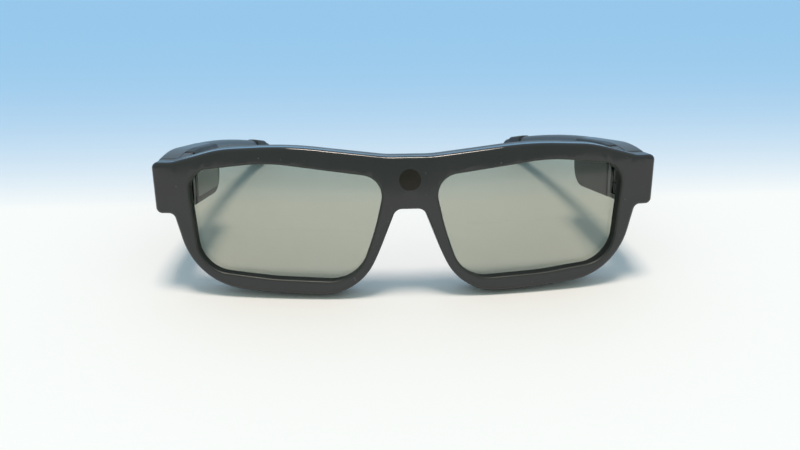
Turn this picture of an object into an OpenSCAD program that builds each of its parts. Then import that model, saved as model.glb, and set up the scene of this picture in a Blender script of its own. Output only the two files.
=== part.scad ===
// Active-shutter 3D glasses, standing on the foot of the rims and on the ear tips.
// Each piece is drawn as the glasses are worn: +X to the wearer's left, +Y back and +Z up,
// from the middle of the bridge's face at the foot of the rims. The whole then leans back onto the table.

/* [Front] */
// Width over the two end pieces
front_w = 167.8; // [162:0.2:174]
// Radius of the front's sweep, seen from above
face_r = 430; // [400:10:480]
// Depth of the front from its face to its back
front_d = 9.4; // [9:0.1:10.4]
// Height of the top edge at the bridge
bridge_h = 45.9; // [45.4:0.1:46.6]
// Height of the top edge over the lenses
brow_h = 49.6; // [49.2:0.1:50.6]
// Height of the end pieces' top edge
end_h = 44.3; // [44:0.1:45.2]
// Height of the end pieces' lower edge
end_foot = 27.4; // [26.8:0.1:28.4]
// Width of each end piece outside its rim
end_w = 6.5; // [6:0.1:7.2]
// How much narrower each end piece is at its lower edge
end_slant = 0.7; // [0:0.1:1]
// Height of the nose arch
arch_h = 28.6; // [27.6:0.1:29]
// Width of the nose arch at its top
arch_w = 9.2; // [8.4:0.1:9.6]
// Width between the rims at their foot
nose_w = 33.8; // [32:0.2:34.4]
// Rounding of the front's outer edges
edge_r = 1.2; // [0.8:0.1:1.4]

/* [Lenses] */
// Distance of each lens opening from the middle
lens_in = 7.2; // [7:0.1:7.8]
// Width of the front outside a lens opening
rim_side = 11.8; // [11.3:0.1:12.6]
// Height of the rim under a lens opening
lens_foot = 4.4; // [4:0.1:4.8]
// Height of the brow over a lens opening
brow_t = 5.3; // [4.9:0.1:5.9]
// Thickness of the bezel at the middle of a lens
bezel_t = 4.6; // [4.4:0.1:5]
// How far the glass reaches behind the bezel all round
glass_lap = 1.5; // [1.2:0.1:1.6]
// Thickness of a shutter cell
cell_t = 1.4; // [1.1:0.1:1.6]
// Thickness of a polariser film
film_t = 0.25; // [0.2:0.01:0.3]
// Thickness of a lens gasket
gasket_t = 0.5; // [0.4:0.05:0.6]
// Rounding of the bezel's edge at a lens opening
lip_r = 0.8; // [0.5:0.1:1]

/* [Sensor] */
// Diameter of the sensor window
window_d = 7; // [6.4:0.1:7.2]
// Distance of the sensor window's middle below the bridge's top edge
window_drop = 7.6; // [7.2:0.1:8]
// Thickness of the sensor window
window_t = 1.2; // [1:0.1:1.3]

/* [Temples] */
// Thickness of a temple's housing
housing_t = 10.4; // [10:0.1:11]
// Length of a temple's housing
housing_l = 41.2; // [40:0.2:44]
// Height of a housing's lower edge
housing_foot = 27; // [26.4:0.1:27.4]
// Height of a temple's top edge at the hinge
temple_h = 46.7; // [46.2:0.1:47.2]
// Angle by which a temple leans inward
toe_in = 5.9; // [5.4:0.1:6.4]
// Angle by which a temple's top edge falls
droop = 2.2; // [1.6:0.2:2.8]
// Length of a temple along its housing's line
temple_l = 127.5; // [122:0.5:132]
// Plan radius of the arm behind the housing
arm_plan_r = 415; // [380:5:480]
// Side-view radius of the arm behind the housing
arm_side_r = 640; // [560:10:800]
// Thickness of the arm
arm_t = 5.2; // [4.8:0.1:5.6]
// Height of the arm
arm_h = 8.2; // [7.6:0.1:8.8]
// Length of the ear tip
tip_l = 20; // [17:1:26]
// Length of the ear tip's raised collar
collar_l = 12; // [8:1:13]
// How far the collar stands proud of the arm
collar_t = 0.5; // [0.3:0.1:0.7]
// Wall of a housing
wall = 1.5; // [1.2:0.1:1.7]
// Thickness of an inner cover
cover_t = 3.2; // [3:0.1:3.4]

/* [Hinge] */
// Distance of a hinge pin from the outer side
hinge_in = 8.5; // [8.3:0.1:8.6]
// Distance of a hinge pin behind the temple's front end
hinge_back = 2.1; // [2:0.1:2.4]
// Diameter of a hinge pin
pin_d = 1.2; // [1:0.1:1.4]
// Diameter of the hinge barrels
barrel_d = 3.6; // [3.2:0.1:3.7]
// Height of each frame lug
lug_h = 3.6; // [3.2:0.1:3.7]
// Height of the temple's knuckle
knuckle_h = 4.4; // [4:0.1:4.5]
// Height of the lowest lug's underside
hinge_foot = 29.4; // [29.2:0.1:29.8]

/* [Controls] */
// Length of the power button
button_l = 7; // [6:0.5:8]
// Width of the power button
button_w = 2.6; // [2.2:0.1:2.8]
// How far the button stands out of the housing
button_out = 0.6; // [0.5:0.1:0.8]
// Travel of the power button
button_travel = 0.4; // [0.3:0.05:0.5]
// Width of the charging socket
socket_w = 7.5; // [7.2:0.1:7.8]
// Thickness of the charging socket
socket_t = 2.6; // [2.4:0.1:2.8]
// Thickness of the circuit boards
board_t = 0.8; // [0.6:0.1:1]

/* [Hidden] */
$fn = 64;
past = 1; // how far a cut runs past the face that it opens
RIGHT = -1; // the wearer's right, at -X
LEFT = 1;

// Fits
pin_gap = 0.05; // pin to knuckle, on the radius
press_gap = 0.01; // pin to lugs, on the radius
knuckle_gap = 0.2; // knuckle to lugs, up and down
hinge_gap = 0.5; // temple to end piece
room_gap = 0.3; // housing to the hinge barrels
seat_gap = 0.05; // piece in its pocket
button_gap = 0.15; // button in its slot
glass_gap = 0.15; // glass edge to its pocket

// Front
half_w = front_w / 2;
lens_w = half_w - lens_in - rim_side;
lens_cx = lens_in + lens_w / 2;
lens_tilt = asin(lens_cx / face_r);
part_y = face_y(lens_cx) + bezel_t;
stack_t = gasket_t + 2 * film_t + cell_t;
rear_grow = 0.6; // the back's openings are this much larger than the bezel's
rear_flare = 0.45; // and widen by this for each millimetre of depth
rim_in = 12.9; // end of the rim's foot line, in from the outer side
rim_rise = 3.1; // rise of the rim's foot line towards the outside
brow_in = 22.4; // outer shoulder of the brow, in from the outer side
brow_fall = 1; // fall of the brow to that shoulder
dip_w = 15; // width of the dip over the bridge
nose_fall = 0.65; // brings the round of the rims' foot to height 0
edge_steps = 3;

// Corners of half the front: x, z, radius. Each foot corner has a partner on the top edge.
arch_r = 3;
rim_nose_r = 14;
rim_side_r = 27;
end_root_r = 2.2;
end_r = 2;
foot_corners = [
    [arch_w / 2, arch_h, arch_r],
    [nose_w / 2, -nose_fall, rim_nose_r],
    [half_w - rim_in, rim_rise, rim_side_r],
    [half_w - end_w, end_foot, end_root_r],
    [half_w - end_slant, end_foot, end_r]
];
dip_r = 40;
brow_r = 120;
shoulder_r = 40;
end_top_r = 12;
top_corners = [
    [dip_w / 2, bridge_h, dip_r],
    [lens_cx, brow_h, brow_r],
    [half_w - brow_in, brow_h - brow_fall, shoulder_r],
    [half_w - end_w, end_h, end_top_r],
    [half_w, end_h, end_r]
];
corner_steps = [4, 10, 12, 4, 4];
fill_steps = [1, 3, 4, 2, 1];

// Corners of a lens opening, from its plane's middle: x, z, radius, anticlockwise from the inner foot
lens_nose_in = 9.8; // slant of the side at the nose
lens_side_in = 3.4; // slant of the outer side
lens_side_rise = 4.5; // rise of the foot to the outer side
lens_side_t = 4.3; // height of the front over the head's outer corner
lens_nose_t = 7.3; // and over its nose corner
lens_peak_x = 6.4; // highest point, out from the middle
lens_nose_r = 10;
lens_side_r = 13;
lens_head_side_r = 6.5;
lens_peak_r = 60;
lens_head_nose_r = 7;
lens_corners = [
    [lens_nose_in - lens_w / 2, lens_foot, lens_nose_r],
    [lens_w / 2 - lens_side_in, lens_foot + lens_side_rise, lens_side_r],
    [lens_w / 2, top_line(lens_cx + lens_w / 2) - lens_side_t, lens_head_side_r],
    [lens_peak_x, top_line(lens_cx + lens_peak_x) - brow_t, lens_peak_r],
    [-lens_w / 2, top_line(lens_in) - lens_nose_t, lens_head_nose_r]
];
lens_steps = 8;

// Films and gasket, against the glass and the opening
film_in = 0.3;
gasket_in = 0.1;

// Nose rests, along the line from the arch to the rim's foot
rest_d = 2.4;
rest_in = 1.25; // middle of the rest inside the front's outline
rest_head = 0.19;
rest_foot = 0.65;
rest_sink = 1; // ends below the back of the front
rest_rise = 1.4; // middle above the back

// Sensor, from the face of the bridge
window_h = bridge_h - window_drop;
window_in = 0.2;
window_lap = 0.6;
board_y = 4.2;
sensor_board_w = 11.6;
sensor_board_h = 7;
diode_w = 3.6;
diode_t = 1.2;

// Screws of the front: x, z
screw_d = 1.4;
screw_head_d = 2.6;
screw_head_h = 0.9;
screw_sink = 1.6; // head below the back of the front
head_at = front_d - screw_sink - screw_head_h;
screw_bite = 1.7; // into the bezel
screw_gap = 0.1; // in the back, on the radius
thread_gap = 0.02; // in the bezel, on the radius
bore_past = 0.2; // bore past the screw's end
slot_l = 0.7 * screw_head_d;
slot_w = 0.35;
slot_h = 0.8;
bridge_screw_rise = 3.6; // above the nose arch
end_screw_in = 4.3; // from the outer side
bridge_screw_h = arch_h + bridge_screw_rise;
end_screw_h = (end_foot + end_h) / 2;
end_screw_x = half_w - end_screw_in;
screw_spots = [[0, bridge_screw_h], [end_screw_x, end_screw_h], [-end_screw_x, end_screw_h]];

// Printed strip along the brow, in a lens's plane: x, z
flex_w = 1.2;
flex_t = 0.2;
flex_gap = 0.15;
temple_flex_l = 13;
flex_lap = 0.4; // start inside the sensor board's edge
flex_rise = 1; // start above the window's middle
flex_out = 1.5; // first bend, out from the dip over the bridge
flex_drop = 2.4; // strip below the top edge, or half of the wall where that is thinner
flex_end_in = 6.9; // end of the strip, in from the outer side
flex_end_x = half_w - flex_end_in - lens_cx;
flex_spots = [
    dip_w / 2 + flex_out - lens_cx, 0, lens_peak_x, half_w - brow_in - lens_cx, lens_w / 2 - lens_head_side_r
];
flex_path = [
    [sensor_board_w / 2 - flex_lap - lens_cx, window_h + flex_rise],
    for (x = flex_spots)
        [x, top_line(lens_cx + x) - min(flex_drop, brow_wall(x) / 2)],
    [flex_end_x, top_line(lens_cx + flex_end_x) - flex_drop]
];

// Hinge
temple_y = face_y(half_w) + front_d + hinge_gap;
hinge_x = half_w - hinge_in;
hinge_y = temple_y + hinge_back;
knuckle_z = hinge_foot + lug_h + knuckle_gap;
upper_lug_z = knuckle_z + knuckle_h + knuckle_gap;
hinge_top = upper_lug_z + lug_h;
hinge_s = hinge_back * cos(toe_in) + hinge_in * sin(toe_in); // the pin along the temple's line
hinge_u = hinge_in * cos(toe_in) - hinge_back * sin(toe_in); // and in from its outer side
lug_half = 1.5;
lug_root = 2; // into the back of the front
knuckle_root = 1.6; // into the hinge block

// Temples, along the line of the housing
shell_t = housing_t - cover_t;
hinge_room = hinge_s + barrel_d / 2 + room_gap; // end of the room for the hinge
block_l = 3; // solid part behind that room, which carries the knuckle
cover_y = hinge_room + block_l;
cover_back = 0.8; // the cover ends this far before the housing
cover_end = housing_l - cover_back;
seam = 0.1; // between cover and shell
outer_wall = hinge_u - barrel_d / 2 - room_gap; // wall outside the hinge
housing_r = 8; // round of the housing's lower rear corner
housing_front_r = 0.6; // round of its front corners
crown_h = temple_h - end_h; // rise of its top edge from the end piece
crown_l = 18; // length of that rise
crown_r = 40; // round of the cover's top edge where the rise ends
crown_steps = 5;
housing_edge = 1.6; // rounding of the outer edges
parting_r = 0.3; // small break of the edges at the parting
arm_edge = 2.2; // rounding of the arm's edges
block_r = 1.2;
throat = 1.4; // length over which the housing's heel runs into the arm
arm_steps = 16;
cover_edge = 1.1;
cover_corner = 2.5; // round of the cover's upper rear corner
cover_lip = 0.5; // the cover's room is shorter by this
arm_end = temple_l - tip_l;
tip_t = 4.8;
tip_h = 7.6;
tip_round = tip_h / 2;
tip_steps = 5;
tip_blunt = 0.35; // share of the thickness left at the very end
tip_turn = 84; // angle at which the round of the end stops
tip_least = 0.05; // least half-width left between two edges
collar_edge = 0.6;
collar_slope = 0.8;
tang_t = 2.6;
tang_h = 4.6;
tang_l = 13;
tang_root = 2;
tang_r = 0.6;
tang_steps = 6;

// Inner pieces of the housings
cavity_y = cover_y + wall;
cavity_end = housing_l - 3;
cavity_foot = housing_foot + wall;
roof = 0.4; // extra wall over the room
cavity_top = arm_top(housing_l) - wall - roof;
cavity_r = 1;
board_gap = 0.3; // board to the cavity's sides
board_x = -shell_t; // the board's inner face lies on the parting
mid_x = board_x + board_t + socket_t / 2; // middle of the parts on the board
button_y = cavity_y + 7.2;
socket_y = housing_l - housing_r - socket_w / 2;
led_y = cavity_y + 1.4;
led_d = 1.8;
led_l = wall + 1.2;
shy = 0.1; // socket and light behind the housing's face
socket_depth = 5;
socket_wall = 0.3;
tongue_t = 0.6;
tongue_in = 1.6;
tongue_back = 0.8;
button_lap = 0.05; // button's flange above the housing's wall
flange_end = 0.6; // flange beyond the button, at each end
flange_side = 0.3; // and at each side
button_top = cavity_foot + 1.2;
board_notch = 0.7; // board clear of the button
switch_z = button_top + 1.2;
switch_l = 4.4;
switch_h = 2.4;
plunger_d = 1.4;
plunger_in = 1; // plunger inside the switch
plunger_end = 0.2; // left behind the pressed plunger
strip_h = 2.4;
strip_drop = 1; // printed strip below the room's top

// Stand
rest_y = 8.2; // where the rims' foot meets the table
tip_flat = 0.2; // depth of the flat under each ear tip
tip_y = temple_y + (temple_l - tip_round) * cos(toe_in);
tip_z = arm_top(temple_l - tip_round) - (arm_h - tip_h) / 2 - tip_h / 2;
tip_far = norm([tip_y - rest_y, tip_z]);
lean = atan2(tip_z, tip_y - rest_y) - asin((tip_round - tip_flat) / tip_far);
depth_y = (tip_y + tip_round) * cos(lean) + tip_z * sin(lean);

// Depth of the front's face behind its middle
function face_y(x) = face_r - sqrt(face_r * face_r - x * x);

// Depth of the flat joint between bezel and rear frame
function part_at(x) = part_y + (abs(x) - lens_cx) * tan(lens_tilt);

// Inward bend and height of the arm's top edge, at s along the temple
function arm_in(s) = s > housing_l ? pow(s - housing_l, 2) / (2 * arm_plan_r) : 0;
function arm_top(s) =
    temple_h - s * tan(droop)
    - (s < crown_l ? crown_h * pow(1 - s / crown_l, 2) : 0)
    - (s > housing_l ? pow(s - housing_l, 2) / (2 * arm_side_r) : 0);

// Height at x of the straight lines through the top corners
function top_line(x) = lookup(x, [for (c = top_corners) flat(c)]);

// Height of the wall between a lens's pocket and those lines, at x from the lens's middle
function brow_wall(x) =
    top_line(lens_cx + x) - glass_lap - glass_gap - lookup(x, [for (i = [4, 3, 2]) flat(lens_corners[i])]);

function unit(v) = v / norm(v);
function flat(p) = [p[0], p[1]];
function turned(v, a) = [v[0] * cos(a) - v[1] * sin(a), v[0] * sin(a) + v[1] * cos(a)];

// Arc at corner b of an anticlockwise outline a, b, c. A positive inset moves it inside the outline.
function arc_at(a, b, c, r, steps, inset) =
    let (
        u = unit(a - b),
        w = unit(c - b),
        half = acos(u * w) / 2,
        mid = b + unit(u + w) * r / sin(half),
        from = b + u * r / tan(half) - mid,
        left_turn = cross(b - a, c - b) > 0,
        turn = (left_turn ? 1 : -1) * (180 - 2 * half),
        grow = left_turn ? (r - inset) / r : (r + inset) / r
    )
    [for (i = [0:steps]) mid + turned(from, turn * i / steps) * grow];

// Closed outline of corners with radii
function rounded(corners, steps, inset = 0) =
    let (n = len(corners))
    [
        for (i = [0:n - 1])
            let (
                a = corners[(i + n - 1) % n],
                b = corners[i],
                c = corners[(i + 1) % n]
            )
            each arc_at(flat(a), flat(b), flat(c), b[2], steps, inset)
    ];

// Points at a distance to the left of a path
function path_side(path, off) =
    let (last = len(path) - 1)
    [
        for (i = [0:last])
            let (
                before = unit(path[max(i, 1)] - path[max(i, 1) - 1]),
                after = unit(path[min(i, last - 1) + 1] - path[min(i, last - 1)]),
                left = turned(after, 90),
                mid = unit(turned(before, 90) + left)
            )
            path[i] + mid * off / (mid * left)
    ];

function between(p, q, steps) = [for (i = [1:steps]) p + (q - p) * i / (steps + 1)];

// Half of the front's foot or top edge, from the middle outward
function half_edge(corners, start, beyond, way, inset) =
    let (
        n = len(corners),
        arcs = [
            for (i = [0:n - 1])
                let (
                    a = i == 0 ? start : flat(corners[i - 1]),
                    c = i == n - 1 ? beyond : flat(corners[i + 1]),
                    b = flat(corners[i]),
                    arc = way > 0
                        ? arc_at(a, b, c, corners[i][2], corner_steps[i], inset)
                        : arc_at(c, b, a, corners[i][2], corner_steps[i], inset),
                    last = len(arc) - 1
                )
                way > 0 ? arc : [for (k = [0:last]) arc[last - k]]
        ],
        middle = [0, start[1] + way * inset]
    )
    [
        middle,
        for (i = [0:n - 1])
            let (before = i == 0 ? middle : arcs[i - 1][len(arcs[i - 1]) - 1])
            each concat(between(before, arcs[i][0], fill_steps[i]), arcs[i])
    ];

// Both halves of an edge, from -X to +X
function whole_edge(half) =
    let (n = len(half))
    concat([for (i = [0:n - 2]) [-half[n - 1 - i][0], half[n - 1 - i][1]]], half);

function front_foot(inset) =
    whole_edge(half_edge(foot_corners, [0, arch_h], [half_w, end_h], 1, inset));
function front_top(inset) =
    whole_edge(half_edge(top_corners, [0, bridge_h], [half_w - end_slant, end_foot], -1, inset));

// One ring of the front: the foot edge, then the top edge, at a depth behind the face or on the joint
function front_ring(inset, depth, on_joint = false) =
    [
        for (p = concat(front_foot(inset), front_top(inset)))
            [p[0], on_joint ? part_at(p[0]) : face_y(p[0]) + depth, p[1]]
    ];

// Triangles of a solid between such rings, from the front ring to the back one
function front_faces(rings, n) =
    let (
        all = 2 * n,
        last = (rings - 1) * all
    )
    concat(
        [
            for (r = [0:rings - 2], k = [0:n - 2])
                let (a = r * all + k, b = a + all)
                each [[a, a + 1, b + 1], [a, b + 1, b]]
        ],
        [
            for (r = [0:rings - 2], k = [0:n - 2])
                let (a = r * all + n + k, b = a + all)
                each [[a, b, b + 1], [a, b + 1, a + 1]]
        ],
        [
            for (r = [0:rings - 2])
                let (a = r * all, b = a + all)
                each [
                    [a, b, b + n], [a, b + n, a + n],
                    [a + n - 1, a + all - 1, b + all - 1], [a + n - 1, b + all - 1, b + n - 1]
                ]
        ],
        [
            for (k = [0:n - 2])
                each [[k, n + k, n + k + 1], [k, n + k + 1, k + 1]]
        ],
        [
            for (k = [0:n - 2])
                each [
                    [last + k, last + k + 1, last + n + k + 1],
                    [last + k, last + n + k + 1, last + n + k]
                ]
        ]
    );

// Triangles of a solid between closed rings of n points each, the first ring seen clockwise from outside
function ring_faces(rings, n) =
    concat(
        [
            for (r = [0:rings - 2], k = [0:n - 1])
                let (
                    a = r * n + k,
                    b = r * n + (k + 1) % n
                )
                each [[a, b, b + n], [a, b + n, a + n]]
        ],
        [for (k = [1:n - 2]) [0, k + 1, k]],
        [for (k = [1:n - 2]) let (o = (rings - 1) * n) [o, o + k, o + k + 1]]
    );

module front_solid(rings) {
    points = [for (r = rings) each r];
    polyhedron(points, front_faces(len(rings), len(rings[0]) / 2));
}

module ring_solid(rings) {
    points = [for (r = rings) each r];
    polyhedron(points, ring_faces(len(rings), len(rings[0])));
}

// Rounded oblong section of an arm at s, with its top outer edge on the temple's line
function oblong(t, h, r, steps) =
    rounded([[-t / 2, -h / 2, r], [t / 2, -h / 2, r], [t / 2, h / 2, r], [-t / 2, h / 2, r]], steps);

function arm_ring(s, t, h, r, steps) =
    [
        for (p = oblong(t, h, r, steps))
            [p[0] - arm_t / 2 - arm_in(s), s, p[1] + arm_top(s) - arm_h / 2]
    ];

// Turns the worn glasses so that they stand on the table
module standing() {
    translate([0, -depth_y / 2, rest_y * sin(lean)])
        rotate([-lean, 0, 0])
            children();
}

module on_side(side) {
    mirror([side < 0 ? 1 : 0, 0, 0]) children();
}

// A lens's plane: x along it, y back from the joint
module lens_plane(side) {
    on_side(side)
        translate([lens_cx, part_y, 0])
            rotate([0, 0, lens_tilt])
                children();
}

// A temple's own line: x outward from its outer side, y back from its front end
module temple_line(side) {
    on_side(side)
        translate([half_w, temple_y, 0])
            rotate([0, 0, toe_in])
                children();
}

// A flat shape drawn in x and z, from depth a to depth b
module slab(a, b) {
    translate([0, b, 0])
        rotate([90, 0, 0])
            linear_extrude(b - a)
                children();
}

// A flat shape drawn in y and z, from x = a to x = b
module sheet(a, b) {
    translate([a, 0, 0])
        rotate([90, 0, 90])
            linear_extrude(b - a)
                children();
}

// A strip of width w along a path, with mitred corners
module strip(path, w) {
    polygon(concat(path_side(path, w / 2), path_side([for (i = [1:len(path)]) path[len(path) - i]], w / 2)));
}

module below_table() {
    size = 3 * front_w;
    translate([0, 0, -rest_y * sin(lean) / cos(lean)])
        rotate([lean, 0, 0])
            translate([-size / 2, -size / 2, -size])
                cube(size);
}

// Front

module lens_mouth() {
    steps = [
        [lip_r, -2],
        for (i = [0:edge_steps])
            let (a = 90 * i / edge_steps)
            [lip_r * (1 - sin(a)), lip_r * (1 - cos(a))]
    ];
    mouth = [
        for (s = steps)
            [
                for (p = rounded(lens_corners, lens_steps, -s[0]))
                    [p[0], p[0] * p[0] / (2 * face_r) - bezel_t + s[1], p[1]]
            ]
    ];
    foot = [for (p = rounded(lens_corners, lens_steps)) [p[0], past, p[1]]];
    ring_solid(concat(mouth, [foot]));
}

module screw_row(from, to, d) {
    for (p = screw_spots) {
        translate([p[0], face_y(p[0]), p[1]])
            rotate([-90, 0, 0])
                translate([0, 0, from])
                    cylinder(d = d, h = to - from);
    }
}

function screw_joint() = part_at(0) - face_y(0);

module front_bezel() {
    round_rings = [
        for (i = [0:edge_steps])
            let (a = 90 * i / edge_steps)
            front_ring(edge_r * (1 - sin(a)), edge_r * (1 - cos(a)))
    ];
    color("#2b2b2d")
        standing()
            difference() {
                front_solid(concat(round_rings, [front_ring(0, 0, true)]));
                for (side = [RIGHT, LEFT]) {
                    lens_plane(side) lens_mouth();
                }
                translate([0, -past, window_h])
                    rotate([-90, 0, 0])
                        cylinder(d = window_d + 2 * seat_gap, h = past + window_in + window_t);
                translate([0, 0, window_h])
                    rotate([-90, 0, 0])
                        cylinder(d = window_d - 2 * window_lap, h = bezel_t);
                screw_row(
                    screw_joint() - screw_bite - bore_past, screw_joint() + past, screw_d + 2 * thread_gap
                );
                below_table();
            }
}

// Ridge behind the inner side of a rim, which rests on the nose
module nose_rest(side) {
    arch = flat(foot_corners[0]);
    line = flat(foot_corners[1]) - arch;
    in = rest_in * unit([-line[1], line[0]]);
    middle = (rest_head + rest_foot) / 2;
    on_side(side)
        hull() {
            for (k = [[rest_head, -rest_sink], [middle, rest_rise], [rest_foot, -rest_sink]]) {
                spot = arch + line * k[0] + in;
                translate([spot[0], face_y(spot[0]) + front_d + k[1], spot[1]])
                    sphere(d = rest_d, $fn = 20);
            }
        }
}

// Opening behind a lens, wider towards the wearer
module eye_side() {
    ring_solid([
        for (y = [stack_t - seat_gap, 2 * front_d])
            let (grow = rear_grow + (y - stack_t) * rear_flare)
            [for (p = rounded(lens_corners, lens_steps, -grow)) [p[0], y, p[1]]]
    ]);
}

module hinge_lug(z) {
    translate([hinge_x, hinge_y, z])
        cylinder(d = barrel_d, h = lug_h);
    root = face_y(hinge_x) + front_d - lug_root;
    translate([hinge_x - lug_half, root, z])
        cube([2 * lug_half, hinge_y - root, lug_h]);
}

module rear_frame() {
    round_rings = [
        for (i = [edge_steps:-1:0])
            let (a = 90 * i / edge_steps)
            front_ring(edge_r * (1 - sin(a)), front_d - edge_r * (1 - cos(a)))
    ];
    color("#333335")
        standing()
            difference() {
                union() {
                    difference() {
                        front_solid(concat([front_ring(0, 0, true)], round_rings));
                        for (side = [RIGHT, LEFT]) {
                            lens_plane(side) eye_side();
                        }
                    }
                    for (side = [RIGHT, LEFT]) {
                        nose_rest(side);
                        on_side(side) {
                            hinge_lug(hinge_foot);
                            hinge_lug(upper_lug_z);
                        }
                    }
                }
                for (side = [RIGHT, LEFT]) {
                    lens_plane(side) {
                        slab(-past, stack_t)
                            polygon(rounded(lens_corners, lens_steps, -glass_lap - glass_gap));
                        slab(-past, flex_gap + flex_t)
                            strip(flex_path, flex_w + 2 * flex_gap);
                    }
                    on_side(side)
                        translate([hinge_x, hinge_y, hinge_foot - past])
                            cylinder(d = pin_d + 2 * press_gap, h = hinge_top - hinge_foot + 2 * past);
                }
                translate([-sensor_board_w / 2 - seat_gap, 0, window_h - sensor_board_h / 2 - seat_gap])
                    cube([
                        sensor_board_w + 2 * seat_gap,
                        board_y + board_t,
                        sensor_board_h + 2 * seat_gap
                    ]);
                screw_row(0, front_d + past, screw_d + 2 * screw_gap);
                screw_row(head_at, front_d + past, screw_head_d + 2 * screw_gap);
                below_table();
            }
}

module sensor_window() {
    color("#241a16")
        standing()
            translate([0, window_in, window_h])
                rotate([-90, 0, 0])
                    cylinder(d = window_d, h = window_t);
}

module photodiode() {
    color("#1a1a1a")
        standing()
            translate([0, board_y - diode_t, window_h]) {
                translate([-diode_w / 2, 0, -diode_w / 2])
                    cube([diode_w, diode_t, diode_w]);
                sphere(d = diode_w / 2);
            }
}

module sensor_board() {
    color("#1f5c3a")
        standing()
            translate([-sensor_board_w / 2, board_y, window_h - sensor_board_h / 2])
                cube([sensor_board_w, board_t, sensor_board_h]);
}

module frame_screws() {
    color("#9a9ca0")
        standing() {
            screw_row(screw_joint() - screw_bite, head_at, screw_d);
            difference() {
                screw_row(head_at, head_at + screw_head_h, screw_head_d);
                for (p = screw_spots) {
                    translate([p[0], face_y(p[0]) + head_at + screw_head_h, p[1]])
                        for (a = [0, 90]) {
                            rotate([0, a, 0])
                                cube([slot_l, slot_h, slot_w], center = true);
                        }
                }
            }
        }
}

module glass(from, t, grow) {
    slab(from, from + t)
        polygon(rounded(lens_corners, lens_steps, -grow));
}

module lc_cell(side) {
    color("#a9ada0", 0.5)
        standing()
            lens_plane(side)
                glass(gasket_t + film_t, cell_t, glass_lap);
}

module polariser(side, from) {
    color("#7f8a78", 0.5)
        standing()
            lens_plane(side)
                glass(from, film_t, glass_lap - film_in);
}

module lens_gasket(side) {
    color("#151515")
        standing()
            lens_plane(side)
                difference() {
                    glass(0, gasket_t, glass_lap);
                    translate([0, -past, 0]) glass(0, gasket_t + 2 * past, gasket_in);
                }
}

module front_flex(side) {
    color("#b5762a")
        standing()
            lens_plane(side)
                slab(flex_gap, flex_gap + flex_t)
                    strip(flex_path, flex_w);
}

module hinge_pin(side) {
    color("#b8babd")
        standing()
            on_side(side)
                translate([hinge_x, hinge_y, hinge_foot])
                    cylinder(d = pin_d, h = hinge_top - hinge_foot);
}

module right_lc_cell() { lc_cell(RIGHT); }
module left_lc_cell() { lc_cell(LEFT); }
module right_front_polariser() { polariser(RIGHT, gasket_t); }
module left_front_polariser() { polariser(LEFT, gasket_t); }
module right_rear_polariser() { polariser(RIGHT, gasket_t + film_t + cell_t); }
module left_rear_polariser() { polariser(LEFT, gasket_t + film_t + cell_t); }
module right_lens_gasket() { lens_gasket(RIGHT); }
module left_lens_gasket() { lens_gasket(LEFT); }
module right_flex() { front_flex(RIGHT); }
module left_flex() { front_flex(LEFT); }
module right_hinge_pin() { hinge_pin(RIGHT); }
module left_hinge_pin() { hinge_pin(LEFT); }

// Temples

// Inner cover: a plate on the housing's parting, with its inner edge rounded
module cover_plate() {
    corners = [
        [cover_y, housing_foot, block_r],
        [cover_end, housing_foot, housing_r],
        [cover_end, arm_top(cover_end), cover_corner],
        [crown_l, arm_top(crown_l), crown_r],
        [cover_y, arm_top(cover_y), block_r]
    ];
    steps = [
        [0, -shell_t],
        for (i = [0:edge_steps])
            let (a = 90 * i / edge_steps)
            [cover_edge * (1 - cos(a)), -housing_t + cover_edge * (1 - sin(a))]
    ];
    ring_solid([
        for (s = steps)
            [for (p = rounded(corners, 5, s[0])) [s[1], p[0], p[1]]]
    ]);
}

// Outline of the room inside a housing
function room(y1, inset) =
    rounded([
        [cavity_y, cavity_foot, cavity_r],
        [y1, cavity_foot, housing_r - wall],
        [y1, cavity_top, cavity_r],
        [cavity_y, cavity_top, cavity_r]
    ], 5, inset);

module cavity(a, b, y1) {
    sheet(a, b)
        polygon(room(y1, 0));
}

// Cross-section of a temple at s: inner and outer side, foot and top, and the radii of its edges
function temple_ring(s, t, foot, top, inner_r, outer_r) =
    [
        for (p = rounded([[-t, foot, inner_r], [0, foot, outer_r], [0, top, outer_r], [-t, top, inner_r]], 3))
            [p[0] - arm_in(s), s, p[1]]
    ];

// Outer half of the housing with the arm, lofted along the temple
module temple_body() {
    front = [
        for (i = [0:edge_steps])
            let (
                a = 90 * i / edge_steps,
                s = housing_front_r * (1 - cos(a)),
                in = housing_front_r * (1 - sin(a))
            )
            temple_ring(s, shell_t, housing_foot + in, arm_top(s) - in, parting_r, housing_edge)
    ];
    crown = [
        for (i = [1:crown_steps])
            let (s = crown_l * i / crown_steps)
            temple_ring(s, shell_t, housing_foot, arm_top(s), parting_r, housing_edge)
    ];
    heel = [
        for (a = [0:15:75])
            let (s = housing_l - housing_r * (1 - sin(a)))
            temple_ring(
                s, shell_t, housing_foot + housing_r * (1 - cos(a)), arm_top(s), parting_r, housing_edge
            )
    ];
    arm = [
        for (i = [0:arm_steps])
            let (s = housing_l + throat + (arm_end - housing_l - throat) * i / arm_steps)
            temple_ring(s, arm_t, arm_top(s) - arm_h, arm_top(s), arm_edge, arm_edge)
    ];
    ring_solid(concat(front, crown, heel, arm));
}

// Narrow end of the arm inside the ear tip
module tang(gap) {
    stations = [for (i = [0:tang_steps]) arm_end - tang_root + (tang_l + tang_root + gap) * i / tang_steps];
    ring_solid([for (s = stations) arm_ring(s, tang_t + 2 * gap, tang_h + 2 * gap, tang_r, 1)]);
}

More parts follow.
